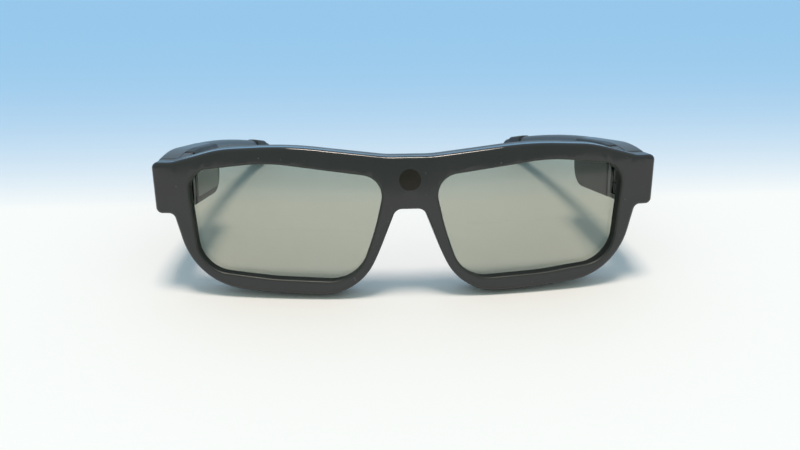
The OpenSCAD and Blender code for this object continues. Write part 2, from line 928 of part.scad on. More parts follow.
// Inner half of the housing's front end, a shade lower than the outer half all round
module hinge_block() {
    foot = housing_foot + seam;
    back = cover_y - seam;
    steps = [
        [0, -shell_t + past],
        for (i = [0:edge_steps])
            let (a = 90 * i / edge_steps)
            [cover_edge * (1 - cos(a)), -housing_t + cover_edge * (1 - sin(a))]
    ];
    ring_solid([
        for (s = steps)
            let (
                outline = rounded([
                    [0, foot, block_r],
                    [back, foot, block_r],
                    [back, arm_top(back) - seam, block_r],
                    [0, arm_top(0) - seam, block_r]
                ], edge_steps, s[0])
            )
            [for (p = outline) [s[1], p[0], p[1]]]
    ]);
}

module knuckle() {
    translate([hinge_x, hinge_y, knuckle_z])
        cylinder(d = barrel_d, h = knuckle_h);
    translate([hinge_x - lug_half, hinge_y, knuckle_z])
        cube([2 * lug_half, hinge_room - hinge_s + knuckle_root, knuckle_h]);
}

module temple_shell(side) {
    color("#2e2e30")
        standing()
            difference() {
                union() {
                    temple_line(side) {
                        difference() {
                            union() {
                                temple_body();
                                hinge_block();
                            }
                            translate([-housing_t - past, -past, hinge_foot - room_gap])
                                cube([
                                    housing_t + past - outer_wall,
                                    past + hinge_room,
                                    hinge_top - hinge_foot + 2 * room_gap
                                ]);
                            cavity(-shell_t - past, -wall, cavity_end);
                        }
                        tang(0);
                    }
                    on_side(side) knuckle();
                }
                on_side(side)
                    translate([hinge_x, hinge_y, knuckle_z - past])
                        cylinder(d = pin_d + 2 * pin_gap, h = knuckle_h + 2 * past);
                if (side == LEFT) {
                    temple_line(side) {
                        button_slot(button_gap);
                        translate([mid_x, socket_y, housing_foot - past])
                            socket_block(seat_gap, socket_depth);
                        translate([mid_x, led_y, housing_foot - past])
                            cylinder(d = led_d + 2 * seat_gap, h = wall + 2 * past);
                    }
                }
            }
}

module temple_cover(side) {
    color("#2a2a2c")
        standing()
            temple_line(side)
                difference() {
                    cover_plate();
                    cavity(-housing_t + wall, past, cavity_end - cover_lip);
                }
}

module ear_tip(side) {
    h = arm_h + 2 * collar_t;
    t = arm_t + 2 * collar_t;
    end = temple_l - tip_round;
    slim = arm_end + collar_l;
    body = [
        [arm_end, t - collar_edge, h - collar_edge],
        [arm_end + collar_edge, t, h],
        [slim - collar_slope, t, h],
        [slim, arm_t, arm_h],
        for (i = [1:tip_steps])
            let (k = i / tip_steps)
            [slim + (end - slim) * k, arm_t + (tip_t - arm_t) * k, arm_h + (tip_h - arm_h) * k],
        for (i = [1:tip_steps])
            let (a = tip_turn * i / tip_steps)
            [end + tip_round * sin(a), tip_t * (tip_blunt + (1 - tip_blunt) * cos(a)), tip_h * cos(a)]
    ];
    color("#1b1b1c")
        standing()
            difference() {
                temple_line(side)
                    difference() {
                        ring_solid([
                            for (b = body)
                                let (r = min(arm_edge, min(b[1], b[2]) / 2 - tip_least))
                                arm_ring(b[0], b[1], b[2], r, edge_steps)
                        ]);
                        tang(seat_gap);
                    }
                below_table();
            }
}

module temple_flex(side) {
    color("#b5762a")
        standing()
            temple_line(side)
                translate([-wall - flex_t, cavity_y, cavity_top - strip_drop - strip_h])
                    cube([flex_t, temple_flex_l, strip_h]);
}

module right_temple_shell() { temple_shell(RIGHT); }
module left_temple_shell() { temple_shell(LEFT); }
module right_temple_cover() { temple_cover(RIGHT); }
module left_temple_cover() { temple_cover(LEFT); }
module right_ear_tip() { ear_tip(RIGHT); }
module left_ear_tip() { ear_tip(LEFT); }
module right_temple_flex() { temple_flex(RIGHT); }
module left_temple_flex() { temple_flex(LEFT); }

// Right housing

pad_t = 0.8;
pad_in = 1; // pad inside the cell's outline
cell_gap = 0.5;
cell_front = 1; // cell behind the room's front
cell_up = 0.3; // and above its floor
cell_r = 1;
battery_t = housing_t - 2 * wall - pad_t - cell_gap;
battery_l = cavity_end - cavity_y - (housing_r - wall) - cell_gap;
battery_h = 11;

module battery_pad() {
    color("#5a5a58")
        standing()
            temple_line(RIGHT)
                translate([-wall - pad_t, cavity_y + cell_front + pad_in, cavity_foot + cell_up + pad_in])
                    cube([pad_t, battery_l - 2 * pad_in, battery_h - 2 * pad_in]);
}

module battery_cell() {
    color("#c9ccd0")
        standing()
            temple_line(RIGHT)
                sheet(-wall - pad_t - battery_t, -wall - pad_t)
                    translate([cavity_y + cell_front, cavity_foot + cell_up])
                        polygon(rounded([
                            [0, 0, cell_r],
                            [battery_l, 0, cell_r],
                            [battery_l, battery_h, cell_r],
                            [0, battery_h, cell_r]
                        ], 5));
}

label_t = 0.15;
label_foot = 29.6;
label_head = 42.4;
label_in = 2; // from the cover's front edge
label_back = 3; // from its rear edge
label_r = 1;

module blank_label() {
    color("#8b8d8c")
        standing()
            temple_line(RIGHT)
                sheet(-housing_t - label_t, -housing_t)
                    polygon(rounded([
                        [cover_y + label_in, label_foot, label_r],
                        [cover_end - label_back, label_foot, label_back],
                        [cover_end - label_back, label_head, label_r],
                        [cover_y + label_in, label_head, label_r]
                    ], 5));
}

// Left housing

module button_slot(gap) {
    translate([mid_x, button_y, housing_foot - past])
        pill(button_l + 2 * gap, button_w + 2 * gap, wall + 2 * past);
}

// Upright block with round ends, long in y
module pill(l, w, h) {
    translate([-w / 2, -(l - w) / 2, 0])
        cube([w, l - w, h]);
    for (end = [-1, 1]) {
        translate([0, end * (l - w) / 2, 0])
            cylinder(d = w, h = h);
    }
}

module socket_block(gap, depth) {
    translate([-socket_t / 2 - gap, -socket_w / 2 - gap, 0])
        cube([socket_t + 2 * gap, socket_w + 2 * gap, depth + gap]);
}

module main_board() {
    color("#1f5c3a")
        standing()
            temple_line(LEFT)
                difference() {
                    sheet(board_x, board_x + board_t)
                        polygon(room(cavity_end, board_gap));
                    translate([mid_x, button_y, cavity_foot])
                        pill(
                            button_l + 2 * (flange_end + board_notch),
                            button_w + 2 * (flange_side + board_notch),
                            button_top + board_notch - cavity_foot
                        );
                }
}

// Each chip: distance back and height of its middle in the room, then length, height and thickness
room_l = cavity_end - cavity_y;
chips = [
    [4.4, 10.2, 5, 5, 1],
    [11.4, 10.6, 4, 3, 1],
    [room_l - 9, 10.4, 3.2, 2.5, 0.9],
    [room_l - 3.9, 10.4, 2, 3.6, 1.2]
];

module board_chips() {
    color("#18181a")
        standing()
            temple_line(LEFT)
                for (c = chips) {
                    translate([board_x + board_t, cavity_y + c[0] - c[2] / 2, cavity_foot + c[1] - c[3] / 2])
                        cube([c[4], c[2], c[3]]);
                }
}

module charge_socket() {
    color("#b9bcc0")
        standing()
            temple_line(LEFT)
                translate([mid_x, socket_y, housing_foot + shy])
                    difference() {
                        socket_block(0, socket_depth - seat_gap);
                        translate([0, 0, -past])
                            difference() {
                                socket_block(-socket_wall, socket_depth);
                                translate([-tongue_t / 2, -socket_w / 2 + tongue_in, past + tongue_back])
                                    cube([tongue_t, socket_w - 2 * tongue_in, socket_depth]);
                            }
                    }
}

module tact_switch() {
    color("#35363a")
        standing()
            temple_line(LEFT)
                difference() {
                    translate([mid_x - socket_t / 2, button_y - switch_l / 2, switch_z])
                        cube([socket_t, switch_l, switch_h]);
                    translate([mid_x, button_y, switch_z - past])
                        cylinder(
                            d = plunger_d + 2 * pin_gap,
                            h = past + plunger_in + button_travel + plunger_end
                        );
                }
}

module status_led() {
    color("#d8e4d0")
        standing()
            temple_line(LEFT)
                translate([mid_x, led_y, housing_foot + shy])
                    cylinder(d = led_d, h = led_l);
}

module power_button() {
    color("#3a3a3d")
        standing()
            temple_line(LEFT)
                translate([mid_x, button_y, 0]) {
                    translate([0, 0, housing_foot - button_out])
                        pill(button_l, button_w, cavity_foot - housing_foot + button_out + button_lap);
                    translate([0, 0, cavity_foot + button_lap])
                        pill(
                            button_l + 2 * flange_end,
                            button_w + 2 * flange_side,
                            button_top - cavity_foot - button_lap
                        );
                }
}

module switch_plunger() {
    color("#8f2f2a")
        standing()
            temple_line(LEFT)
                translate([mid_x, button_y, button_top])
                    cylinder(d = plunger_d, h = switch_z - button_top + plunger_in);
}

front_bezel();
rear_frame();
sensor_window();
photodiode();
sensor_board();
frame_screws();
right_lc_cell();
left_lc_cell();
right_front_polariser();
left_front_polariser();
right_rear_polariser();
left_rear_polariser();
right_lens_gasket();
left_lens_gasket();
right_flex();
left_flex();
right_hinge_pin();
left_hinge_pin();
right_temple_shell();
left_temple_shell();
right_temple_cover();
left_temple_cover();
right_ear_tip();
left_ear_tip();
right_temple_flex();
left_temple_flex();
battery_cell();
battery_pad();
blank_label();
main_board();
board_chips();
charge_socket();
tact_switch();
status_led();
power_button();
switch_plunger();
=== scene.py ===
import math

import bmesh
import bpy
from mathutils import Matrix, Vector


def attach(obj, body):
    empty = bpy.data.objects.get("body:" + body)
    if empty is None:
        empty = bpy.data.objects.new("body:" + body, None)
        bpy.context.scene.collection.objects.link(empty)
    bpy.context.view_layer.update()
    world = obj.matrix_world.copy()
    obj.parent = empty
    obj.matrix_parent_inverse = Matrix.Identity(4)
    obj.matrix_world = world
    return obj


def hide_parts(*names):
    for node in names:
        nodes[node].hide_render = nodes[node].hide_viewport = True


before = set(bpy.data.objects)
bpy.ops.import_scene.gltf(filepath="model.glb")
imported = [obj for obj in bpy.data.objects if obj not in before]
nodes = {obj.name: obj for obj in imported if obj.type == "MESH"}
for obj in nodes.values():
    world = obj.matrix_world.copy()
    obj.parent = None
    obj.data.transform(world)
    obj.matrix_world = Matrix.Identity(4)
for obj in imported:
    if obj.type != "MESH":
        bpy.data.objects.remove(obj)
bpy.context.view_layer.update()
print("frame loaded:", len(nodes), "nodes")

# Lengths below are millimetres on the worn glasses: x to the wearer's left, y back, z up.
# Angles are written in degrees.
stand = {"lean": math.radians(12.2367), "depth": 148.61, "rise": 1.738}
wornToTable = (
    Matrix.Scale(0.001, 4)
    @ Matrix.Translation((0, -stand["depth"] / 2, stand["rise"]))
    @ Matrix.Rotation(-stand["lean"], 4, "X")
)
mirrorSide = {"right": Matrix.Scale(-1, 4, (1, 0, 0)), "left": Matrix.Identity(4)}
sideways = Matrix(((0, 1, 0, 0), (1, 0, 0, 0), (0, 0, 1, 0), (0, 0, 0, 1)))  # outline drawn in y and z
upright = Matrix(((1, 0, 0, 0), (0, 0, 1, 0), (0, 1, 0, 0), (0, 0, 0, 1)))  # outline drawn in x and y
rearward = Matrix.Rotation(-math.pi / 2, 4, "X")  # a rod's z turned to run back
tolerance = {"merge": 2e-6, "flat": 1e-6, "station": 1e-4}


# Outlines and lofts

def cornerArc(bm, before, corner, after, inset, steps):
    a, b, c = Vector(before[:2]), Vector(corner[:2]), Vector(after[:2])
    radius = corner[2]
    toA, toC = (a - b).normalized(), (c - b).normalized()
    half = toA.angle(toC) / 2
    centre = b + (toA + toC).normalized() * radius / math.sin(half)
    leftTurn = (b - a).cross(c - b) > 0
    grow = 1 - inset / radius if leftTurn else 1 + inset / radius
    start = centre + (b + toA * radius / math.tan(half) - centre) * grow
    turn = (math.pi - 2 * half) * (1 if leftTurn else -1)
    count = len(bm.verts)
    first = bm.verts.new((start.x, 0, start.y))
    bmesh.ops.spin(
        bm, geom=[first], cent=(centre.x, 0, centre.y), axis=(0, -1, 0), angle=turn, steps=steps
    )
    bm.verts.ensure_lookup_table()
    return bm.verts[count:]


def outlineLoop(bm, corners, inset=0, depth=0, steps=8):
    # corners run anticlockwise: (x, z, radius)
    loop = []
    for i, corner in enumerate(corners):
        chain = cornerArc(bm, corners[i - 1], corner, corners[(i + 1) % len(corners)], inset, steps)
        if loop:
            bm.edges.new((loop[-1], chain[0]))
        loop += chain
    bm.edges.new((loop[-1], loop[0]))
    for v in loop:
        v.co.y = depth(v.co.x) if callable(depth) else depth
    return loop


def loopEdges(bm, loop):
    return [bm.edges.get((v, loop[i - 1])) for i, v in enumerate(loop)]


def bridge(bm, loops):
    bands = []
    for a, b in zip(loops, loops[1:]):
        made = bmesh.ops.bridge_loops(bm, edges=loopEdges(bm, a) + loopEdges(bm, b))
        bands.append(made["faces"])
    return bands


def cap(bm, *loops):
    edges = [e for loop in loops for e in loopEdges(bm, loop)]
    bmesh.ops.triangle_fill(bm, edges=edges, use_beauty=True)


def loft(bm, loops):
    bridge(bm, loops)
    cap(bm, loops[0])
    cap(bm, loops[-1])
    return bm


def rounding(radius, steps):
    # a rounded edge from the face to the side: how far in, how far along
    turns = [math.pi / 2 * i / steps for i in range(steps + 1)] if steps else [math.pi / 2]
    return [(radius * (1 - math.sin(t)), radius * (1 - math.cos(t))) for t in turns]


def prism(corners, low, high, edge=0, steps=8, edgeSteps=3):
    # closed plate between two depths, its rims rounded by edge
    bm = bmesh.new()
    rounds = rounding(edge, edgeSteps if edge else 0)
    loops = [outlineLoop(bm, corners, inset, low + d, steps) for inset, d in rounds]
    loops += [outlineLoop(bm, corners, inset, high - d, steps) for inset, d in reversed(rounds)]
    return loft(bm, loops)


def box4(x0, z0, x1, z1, r):
    return [(x0, z0, r), (x1, z0, r), (x1, z1, r), (x0, z1, r)]


def rod(radius, low, high, segments=40, edge=0):
    # along z, with its two rims rounded by edge
    bm = bmesh.new()
    bmesh.ops.create_cone(
        bm, cap_ends=True, segments=segments, radius1=radius, radius2=radius, depth=high - low,
        matrix=Matrix.Translation((0, 0, (low + high) / 2)),
    )
    if edge:
        rims = [e for e in bm.edges if abs(e.verts[0].co.z - e.verts[1].co.z) < tolerance["flat"]]
        bmesh.ops.bevel(
            bm, geom=rims, offset=edge, offset_type="OFFSET", affect="EDGES", segments=3, profile=0.5, material=-1
        )
    return bm


def gather(*parts):
    # several closed shells in one bmesh, each with its own matrix
    whole = bmesh.new()
    for bm, matrix in parts:
        bm.transform(matrix)
        mesh = bpy.data.meshes.new("shell")
        bm.to_mesh(mesh)
        bm.free()
        whole.from_mesh(mesh)
        bpy.data.meshes.remove(mesh)
    return whole


def cutAcross(bm, spot, normal, snap):
    geometry = bm.verts[:] + bm.edges[:] + bm.faces[:]
    bmesh.ops.bisect_plane(bm, geom=geometry, dist=snap, plane_co=spot, plane_no=normal)


def newPiece(name, bm):
    bmesh.ops.recalc_face_normals(bm, faces=bm.faces[:])
    mesh = bpy.data.meshes.new(name)
    bm.to_mesh(mesh)
    bm.free()
    piece = bpy.data.objects.new(name, mesh)
    bpy.context.scene.collection.objects.link(piece)
    return piece


def carve(piece, bm, how="DIFFERENCE"):
    tool = newPiece("tool", bm)
    modifier = piece.modifiers.new("carve", "BOOLEAN")
    modifier.operation = how
    modifier.solver = "EXACT"
    modifier.object = tool
    carved = piece.evaluated_get(bpy.context.evaluated_depsgraph_get())
    shape = bpy.data.meshes.new_from_object(carved)
    piece.modifiers.clear()
    spent = (piece.data, tool.data)
    piece.data = shape
    bpy.data.objects.remove(tool)
    for mesh in spent:
        bpy.data.meshes.remove(mesh)


def place(piece, matrix, body, slot, material, *replaced, sharp=38, weighted=True):
    # several materials come as a tuple, in the order of the faces' own numbers
    bm = bmesh.new()
    bm.from_mesh(piece.data)
    bm.transform(wornToTable @ matrix)
    bmesh.ops.remove_doubles(bm, verts=bm.verts[:], dist=tolerance["merge"])
    bmesh.ops.dissolve_degenerate(bm, edges=bm.edges[:], dist=tolerance["flat"])
    bmesh.ops.recalc_face_normals(bm, faces=bm.faces[:])
    cutAcross(bm, (0, 0, 0), (0, 0, 1), tolerance["flat"])
    for v in bm.verts:
        v.co.z = max(v.co.z, 0)  # flat foot on the table
    bm.to_mesh(piece.data)
    bm.free()
    piece.data.shade_smooth()
    piece.data.set_sharp_from_angle(angle=math.radians(sharp))
    if weighted:
        modifier = piece.modifiers.new("cleanShading", "WEIGHTED_NORMAL")
        modifier.keep_sharp = True
    if not isinstance(material, tuple):
        piece.data.materials.clear()
        material = (material,)
    for coat in material:
        piece.data.materials.append(coat)
    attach(piece, body)
    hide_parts(*replaced)
    return piece


# Materials

def socketGroup(name, inputs, outputs):
    group = bpy.data.node_groups.new(name, "ShaderNodeTree")
    for label, kind, value in inputs:
        socket = group.interface.new_socket(name=label, in_out="INPUT", socket_type=kind)
        if value is not None:
            socket.default_value = value
    for label, kind in outputs:
        group.interface.new_socket(name=label, in_out="OUTPUT", socket_type=kind)
    return group, group.nodes.new("NodeGroupInput"), group.nodes.new("NodeGroupOutput")


def addNode(tree, kind, links=None, **values):
    node = tree.nodes.new(kind)
    for key, value in values.items():
        setattr(node, key, value)
    for key, value in (links or {}).items():
        if isinstance(value, bpy.types.NodeSocket):
            tree.links.new(value, node.inputs[key])
        else:
            node.inputs[key].default_value = value
    return node


def mixColours(tree, factor, a, b):
    # a and b: a colour, or a socket that gives one
    ends = [end if isinstance(end, bpy.types.NodeSocket) else (*end, 1) for end in (a, b)]
    mix = addNode(
        tree, "ShaderNodeMix", {"Factor": factor, "A": ends[0], "B": ends[1]}, data_type="RGBA"
    )
    return mix.outputs["Result"]


def ramp(tree, value, start, end):
    spread = addNode(
        tree, "ShaderNodeMapRange", {"Value": value, "From Min": start, "From Max": end},
        interpolation_type="SMOOTHSTEP",
    )
    return spread.outputs["Result"]


def makeMouldGroup():
    # fine mould texture for bump, broad soft patches for gloss
    group, given, out = socketGroup(
        "mouldTexture",
        [
            ("Vector", "NodeSocketVector", None), ("Grain", "NodeSocketFloat", 2400.0),
            ("Patch", "NodeSocketFloat", 60.0),
        ],
        [("Height", "NodeSocketFloat"), ("Patches", "NodeSocketFloat")],
    )
    grain = addNode(group, "ShaderNodeTexNoise", {
        "Vector": given.outputs["Vector"], "Scale": given.outputs["Grain"], "Detail": 4.0, "Roughness": 0.6,
    })
    patch = addNode(group, "ShaderNodeTexNoise", {
        "Vector": given.outputs["Vector"], "Scale": given.outputs["Patch"], "Detail": 5.0, "Roughness": 0.65,
        "Distortion": 0.4,
    })
    group.links.new(grain.outputs["Fac"], out.inputs["Height"])
    group.links.new(ramp(group, patch.outputs["Fac"], 0.32, 0.68), out.inputs["Patches"])
    return group


def makeDustGroup():
    # sparse specks, thicker where a broad noise is high
    group, given, out = socketGroup(
        "dustSpecks",
        [
            ("Vector", "NodeSocketVector", None), ("Scale", "NodeSocketFloat", 420.0),
            ("Size", "NodeSocketFloat", 0.1),
        ],
        [("Mask", "NodeSocketFloat")],
    )
    cells = addNode(group, "ShaderNodeTexVoronoi", {
        "Vector": given.outputs["Vector"], "Scale": given.outputs["Scale"], "Randomness": 1.0,
    })
    speck = addNode(
        group, "ShaderNodeMath", {0: cells.outputs["Distance"], 1: given.outputs["Size"]},
        operation="LESS_THAN",
    )
    broad = addNode(
        group, "ShaderNodeTexNoise", {"Vector": given.outputs["Vector"], "Scale": 150.0, "Detail": 3.0}
    )
    thick = addNode(
        group, "ShaderNodeMapRange", {"Value": broad.outputs["Fac"], "From Min": 0.52, "From Max": 0.72}
    )
    mask = addNode(
        group, "ShaderNodeMath", {0: speck.outputs["Value"], 1: thick.outputs["Result"]},
        operation="MULTIPLY",
    )
    group.links.new(mask.outputs["Value"], out.inputs["Mask"])
    return group


mouldTexture = makeMouldGroup()
dustSpecks = makeDustGroup()
dustColour = (0.42, 0.41, 0.38)


def startMaterial(name):
    material = bpy.data.materials.new(name)
    material.use_nodes = True
    tree = material.node_tree
    tree.nodes.clear()
    shader = tree.nodes.new("ShaderNodeBsdfPrincipled")
    out = tree.nodes.new("ShaderNodeOutputMaterial")
    tree.links.new(shader.outputs["BSDF"], out.inputs["Surface"])
    where = tree.nodes.new("ShaderNodeTexCoord")
    return material, tree, shader, where.outputs["Object"]


def finish(
    name, base, patchColour, rough, grain=2400.0, patch=60.0, bump=0.08, reach=0.00003, dust=0.0,
    metallic=0.0, ior=1.5,
):
    # rough: least and most roughness; dust: how far specks lighten the colour
    material, tree, shader, where = startMaterial(name)
    mould = addNode(tree, "ShaderNodeGroup", node_tree=mouldTexture)
    tree.links.new(where, mould.inputs["Vector"])
    mould.inputs["Grain"].default_value = grain
    mould.inputs["Patch"].default_value = patch
    shade = mixColours(tree, mould.outputs["Patches"], base, patchColour)
    if dust:
        specks = addNode(tree, "ShaderNodeGroup", node_tree=dustSpecks)
        tree.links.new(where, specks.inputs["Vector"])
        amount = addNode(tree, "ShaderNodeMath", {0: specks.outputs["Mask"], 1: dust}, operation="MULTIPLY")
        shade = mixColours(tree, amount.outputs["Value"], shade, dustColour)
    tree.links.new(shade, shader.inputs["Base Color"])
    gloss = addNode(
        tree, "ShaderNodeMapRange", {"Value": mould.outputs["Patches"], "To Min": rough[0], "To Max": rough[1]}
    )
    tree.links.new(gloss.outputs["Result"], shader.inputs["Roughness"])
    relief = addNode(
        tree, "ShaderNodeBump", {"Height": mould.outputs["Height"], "Strength": bump, "Distance": reach}
    )
    tree.links.new(relief.outputs["Normal"], shader.inputs["Normal"])
    shader.inputs["Metallic"].default_value = metallic
    shader.inputs["IOR"].default_value = ior
    return material


frontGloss = finish(
    "frontGloss", (0.024, 0.025, 0.026), (0.028, 0.028, 0.03), (0.05, 0.09),
    grain=900.0, patch=45.0, bump=0.03, reach=0.00002, dust=0.25,
)
lipSatin = finish(
    "lipSatin", (0.024, 0.026, 0.023), (0.028, 0.03, 0.027), (0.36, 0.42),
    grain=3000.0, patch=90.0, bump=0.1,
)
# wall of the lens openings: coloured darker than the front as painted shade in the recess around each lens
mouthShadeMatte = finish(
    "mouthShadeMatte", (0.009, 0.01, 0.009), (0.012, 0.013, 0.012), (0.5, 0.6),
    grain=3000.0, patch=90.0, bump=0.2, ior=1.3,
)
frameSatin = finish(
    "frameSatin", (0.028, 0.028, 0.03), (0.034, 0.034, 0.036), (0.3, 0.4),
    grain=5200.0, patch=70.0, bump=0.25, dust=0.2,
)
templeSatin = finish(
    "templeSatin", (0.03, 0.032, 0.035), (0.034, 0.036, 0.039), (0.27, 0.32),
    grain=4200.0, patch=55.0, bump=0.2, dust=0.25, ior=1.65,
)
# temple plastic coloured darker for the cover on the housing's inner side: painted shade on the side turned away
# from the light
coverShadeSatin = finish(
    "coverShadeSatin", (0.012, 0.0125, 0.0125), (0.015, 0.0155, 0.0155), (0.38, 0.45),
    grain=5200.0, patch=60.0, bump=0.25, dust=0.2, ior=1.38,
)
tipRubber = finish(
    "tipRubber", (0.014, 0.015, 0.016), (0.019, 0.02, 0.022), (0.48, 0.62),
    grain=3600.0, patch=80.0, bump=0.4, reach=0.00004, dust=0.2,
)
buttonPlastic = finish(
    "buttonPlastic", (0.045, 0.045, 0.05), (0.052, 0.052, 0.058), (0.16, 0.24),
    grain=2400.0, patch=90.0, bump=0.1,
)
labelPaper = finish(
    "labelPaper", (0.27, 0.28, 0.27), (0.31, 0.32, 0.31), (0.5, 0.6),
    grain=3000.0, patch=200.0, bump=0.15,
)
gasketRubber = finish(
    "gasketRubber", (0.012, 0.012, 0.012), (0.016, 0.016, 0.016), (0.55, 0.7),
    grain=3000.0, patch=90.0, bump=0.3,
)
boardGreen = finish(
    "boardGreen", (0.02, 0.11, 0.05), (0.028, 0.135, 0.06), (0.3, 0.42),
    grain=1500.0, patch=160.0, bump=0.1,
)
chipBlack = finish(
    "chipBlack", (0.018, 0.018, 0.02), (0.026, 0.026, 0.028), (0.42, 0.55),
    grain=4000.0, patch=200.0, bump=0.25,
)
flexAmber = finish(
    "flexAmber", (0.42, 0.17, 0.03), (0.48, 0.21, 0.045), (0.22, 0.32),
    grain=1800.0, patch=160.0, bump=0.06,
)
batteryFoil = finish(
    "batteryFoil", (0.58, 0.59, 0.61), (0.64, 0.65, 0.67), (0.28, 0.42),
    grain=1400.0, patch=120.0, bump=0.15, metallic=1.0,
)
padFoam = finish(
    "padFoam", (0.09, 0.09, 0.09), (0.12, 0.12, 0.118), (0.8, 0.92),
    grain=2600.0, patch=300.0, bump=0.6, reach=0.00008,
)
plungerRed = finish(
    "plungerRed", (0.3, 0.035, 0.028), (0.34, 0.045, 0.035), (0.35, 0.45),
    grain=2400.0, patch=150.0, bump=0.1,
)
ledClear = finish(
    "ledClear", (0.68, 0.74, 0.66), (0.72, 0.78, 0.7), (0.1, 0.16),
    grain=2000.0, patch=150.0, bump=0.03,
)
windowTint = finish(
    "windowTint", (0.013, 0.009, 0.005), (0.017, 0.012, 0.007), (0.07, 0.11),
    grain=900.0, patch=160.0, bump=0.02, reach=0.00001, ior=1.4,
)


def makeSteel():
    # turned steel: fine lines along x
    material, tree, shader, where = startMaterial("pinSteel")
    stretch = addNode(tree, "ShaderNodeMapping", {"Vector": where, "Scale": (300.0, 6000.0, 6000.0)})
    lines = addNode(
        tree, "ShaderNodeTexNoise", {"Vector": stretch.outputs["Vector"], "Scale": 1.0, "Detail": 3.0}
    )
    gloss = addNode(
        tree, "ShaderNodeMapRange", {"Value": lines.outputs["Fac"], "To Min": 0.2, "To Max": 0.42}
    )
    relief = addNode(
        tree, "ShaderNodeBump", {"Height": lines.outputs["Fac"], "Strength": 0.12, "Distance": 0.00002}
    )
    tone = mixColours(tree, lines.outputs["Fac"], (0.5, 0.51, 0.53), (0.6, 0.61, 0.62))
    tree.links.new(tone, shader.inputs["Base Color"])
    tree.links.new(gloss.outputs["Result"], shader.inputs["Roughness"])
    tree.links.new(relief.outputs["Normal"], shader.inputs["Normal"])
    shader.inputs["Metallic"].default_value = 1.0
    return material


def makeShutterGlass():
    # grey-green laminate: clear to shadow rays, with faint smears in its gloss
    material, tree, shader, where = startMaterial("shutterGlass")
    smear = addNode(tree, "ShaderNodeTexNoise", {
        "Vector": where, "Scale": 70.0, "Detail": 4.0, "Roughness": 0.6, "Distortion": 1.2,
    })
    tint = mixColours(tree, smear.outputs["Fac"], (0.41, 0.43, 0.355), (0.43, 0.445, 0.375))
    gloss = addNode(
        tree, "ShaderNodeMapRange", {"Value": smear.outputs["Fac"], "To Min": 0.0, "To Max": 0.035}
    )
    tree.links.new(tint, shader.inputs["Base Color"])
    tree.links.new(gloss.outputs["Result"], shader.inputs["Roughness"])
    shader.inputs["Transmission Weight"].default_value = 1.0
    shader.inputs["IOR"].default_value = 1.5
    clear = addNode(tree, "ShaderNodeBsdfTransparent", {"Color": (0.68, 0.7, 0.64, 1)})
    path = tree.nodes.new("ShaderNodeLightPath")
    mix = addNode(
        tree, "ShaderNodeMixShader",
        {0: path.outputs["Is Shadow Ray"], 1: shader.outputs["BSDF"], 2: clear.outputs["BSDF"]},
    )
    out = next(n for n in tree.nodes if n.type == "OUTPUT_MATERIAL")
    tree.links.new(mix.outputs["Shader"], out.inputs["Surface"])
    return material


pinSteel = makeSteel()
shutterGlass = makeShutterGlass()
print("materials ready")


# Front: outline corners of its right half as seen, then the whole outline anticlockwise

front = {
    "foot": [
        (4.6, 28.6, 3), (10.35, 14, 80), (17.4, -0.4, 19), (40, 0.4, 160), (71, 3.6, 23), (77.4, 27.4, 2.2),
        (83.2, 27.4, 2),
    ],
    "top": [(83.9, 44.3, 2), (77.4, 44.3, 12), (61.5, 48.6, 40), (39.65, 49.6, 120), (7.5, 45.9, 40)],
    "faceRadius": 430, "depth": 9.4, "edge": 1.2, "edgeSteps": 6, "arcSteps": 14, "seam": 0.14, "station": 3,
}
lens = {
    "corners": [
        (-22.4, 4.3, 13), (5, 5.6, 90), (29.4, 8.7, 11.5), (32.45, 41.43, 6.5), (6.4, 44.2, 60),
        (-32.45, 38.9, 7), (-28.7, 22, 90),
    ],
    "middle": 39.65, "tilt": math.radians(5.29072), "jointY": 6.43195, "bezel": 4.6, "lip": 0.7, "lipSteps": 5,
    "lap": 1.5, "pocket": 1.65, "gasket": 0.5, "gasketIn": 0.1, "stack": 2.4, "seat": 0.6, "eyeSide": 1.25,
    "eyeLip": 0.35, "edge": 0.12,
}
window = {
    "z": 38.3, "radius": 3.5, "gap": 0.02, "chamfer": 0.01, "sink": 0.03, "thick": 1.2, "edge": 0.03,
    "segments": 72,
}
bezelCoats = (frontGloss, lipSatin, mouthShadeMatte)  # face, lip and wall of the lens openings; the wall's darker colour is painted shade in the recess


def faceY(x):
    return front["faceRadius"] - math.sqrt(front["faceRadius"] ** 2 - x * x)


def jointDepth(x):
    return lens["jointY"] + (abs(x) - lens["middle"]) * math.tan(lens["tilt"]) - faceY(x)


def mirrored(corners):
    return [(-x, z, r) for x, z, r in reversed(corners)]


frontCorners = mirrored(front["foot"]) + front["foot"] + front["top"] + mirrored(front["top"])


def frontLoop(bm, inset, depth):
    return outlineLoop(bm, frontCorners, inset, depth, front["arcSteps"])


def flatLensLoop(bm, grow, depth):
    return outlineLoop(bm, lens["corners"], -grow, depth, front["arcSteps"])


def lensLoop(bm, side, grow, back=None, depth=None):
    # back: distance behind the joint in the lens's own plane; depth: behind the front's face
    loop = flatLensLoop(bm, grow, 0)
    along = -lens["bezel"] if back is None else back
    sine, cosine = math.sin(lens["tilt"]), math.cos(lens["tilt"])
    for v in loop:
        x, z = v.co.x, v.co.z
        wornX = lens["middle"] + x * cosine - along * sine
        wornY = lens["jointY"] + x * sine + along * cosine
        v.co = (side * wornX, wornY - faceY(wornX) if depth is None else depth, z)
    return loop


def sweepFront(bm):
    # rows of points across the width, then the front's sweep
    reach = int(front["foot"][-1][0] // front["station"])
    for k in range(-reach, reach + 1):
        cutAcross(bm, (k * front["station"], 0, 0), (1, 0, 0), tolerance["station"])
    for v in bm.verts:
        v.co.y += faceY(v.co.x)
    return bm


